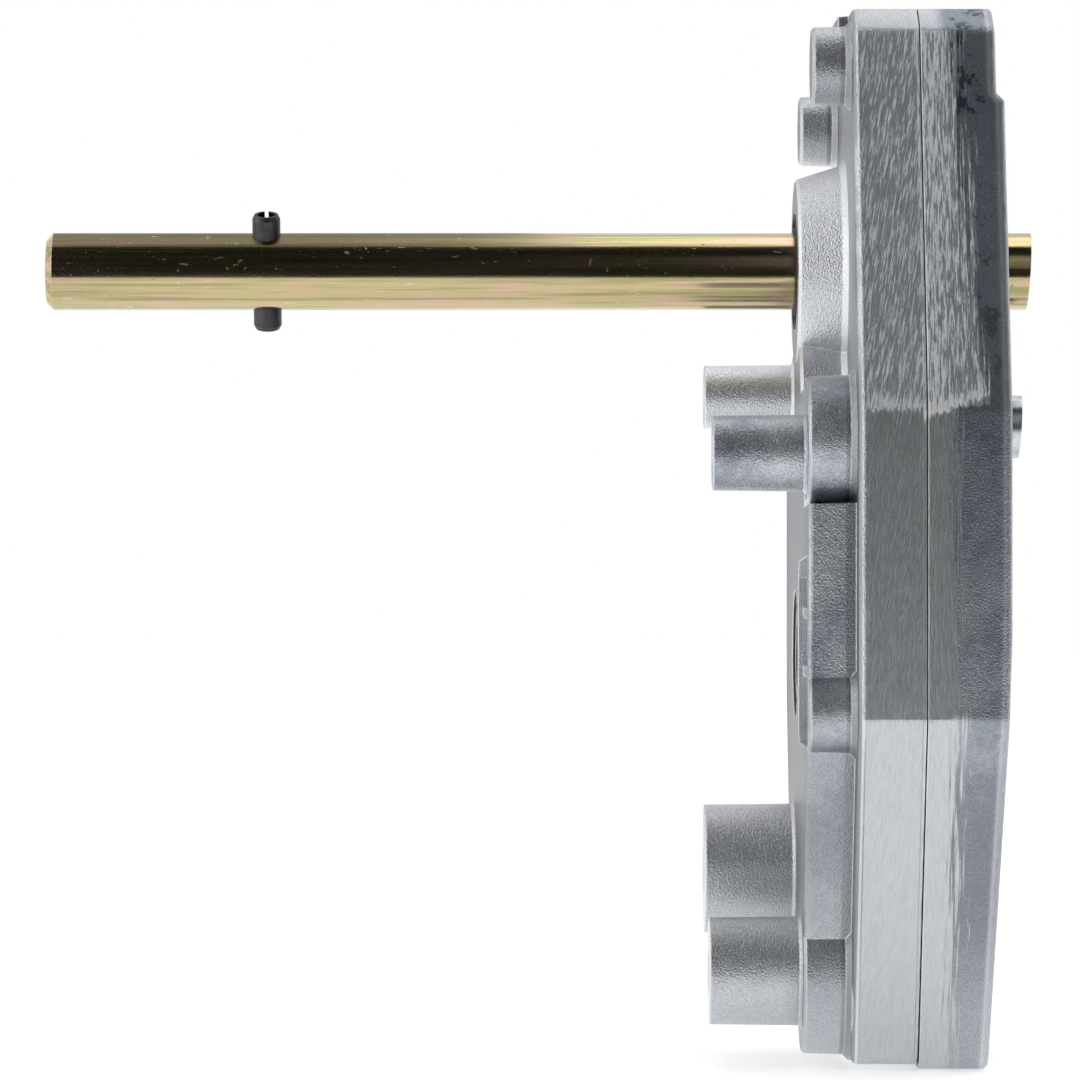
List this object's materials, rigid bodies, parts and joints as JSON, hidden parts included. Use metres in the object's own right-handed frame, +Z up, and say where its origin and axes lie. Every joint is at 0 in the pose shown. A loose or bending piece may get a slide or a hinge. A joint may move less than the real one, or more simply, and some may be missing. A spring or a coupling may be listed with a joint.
{
  "type": "trailer landing gear gearbox",
  "caption": "Two-speed gearbox for a trailer landing leg: a split cast casing on leg posts, with a sliding crank shaft.",
  "frame": {"origin": "where the crank shaft's axis crosses the plane of the leg posts' faces", "axes": "+X along the crank shaft towards the cover, +Z up, -Y towards the pictured side"},
  "size_m": [0.2811, 0.166, 0.297],
  "materials": {
    "cast_aluminium": "as cast, with linished flanks",
    "yellow_zinc_steel": "yellow chromated zinc",
    "clear_zinc_steel": "clear chromated zinc",
    "black_spring_steel": "black phosphate",
    "gear_steel": "hardened and greased",
    "sintered_bronze": "oiled sintered bronze",
    "brown_rubber": "moulded",
    "gasket_sheet": "dark sealant",
    "black_screw_steel": "black oxide",
    "washer_steel": "ground"
  },
  "bodies": {
    "casing": {"gearbox_body": "cast_aluminium", "gearbox_cover": "cast_aluminium", "casing_gasket": "gasket_sheet", "cover_screws": "black_screw_steel", "locating_dowels": "washer_steel", "cluster_axle": "clear_zinc_steel", "output_rear_bushing": "sintered_bronze", "output_cover_bushing": "sintered_bronze", "output_seal": "brown_rubber", "hub_seal": "brown_rubber", "cover_seal": "brown_rubber", "rear_input_bushing": "sintered_bronze", "cover_input_bushing": "sintered_bronze", "low_thrust_washer": "washer_steel", "high_thrust_washer": "washer_steel", "cluster_rear_washer": "washer_steel", "cluster_cover_washer": "washer_steel"},
    "output": {"output_gear": "gear_steel", "output_sleeve": "gear_steel", "output_key": "washer_steel"},
    "cluster": {"cluster_gear": "gear_steel", "cluster_bushing": "sintered_bronze"},
    "low_gear": {"low_pinion": "gear_steel", "shift_detent_ring": "black_spring_steel"},
    "high_gear": {"high_pinion": "gear_steel"},
    "crank": {"input_shaft": "yellow_zinc_steel", "crank_pin": "black_spring_steel", "drive_pin": "washer_steel"}
  },
  "joints": [
    {"name": "output_spin", "type": "hinge", "parent": "casing", "child": "output", "pos_m": [0.041, 0.014, -0.10964], "axis": [1, 0, 0], "continuous": true},
    {"name": "cluster_spin", "type": "hinge", "parent": "casing", "child": "cluster", "pos_m": [0.055, 0, -0.04445], "axis": [1, 0, 0], "continuous": true},
    {"name": "low_pinion_spin", "type": "hinge", "parent": "casing", "child": "low_gear", "pos_m": [0.05, 0, 0], "axis": [1, 0, 0], "continuous": true},
    {"name": "high_pinion_spin", "type": "hinge", "parent": "casing", "child": "high_gear", "pos_m": [0.07, 0, 0], "axis": [1, 0, 0], "continuous": true},
    {"name": "gear_shift", "type": "slide", "parent": "low_gear", "child": "crank", "axis": [1, 0, 0], "range_m": [0, 0.0056]}
  ],
  "couplings": [
    {"joint": "cluster_spin", "follows": "output_spin", "ratio": -2.5},
    {"joint": "low_pinion_spin", "follows": "output_spin", "ratio": 3.3333},
    {"joint": "high_pinion_spin", "follows": "output_spin", "ratio": 1.875}
  ]
}
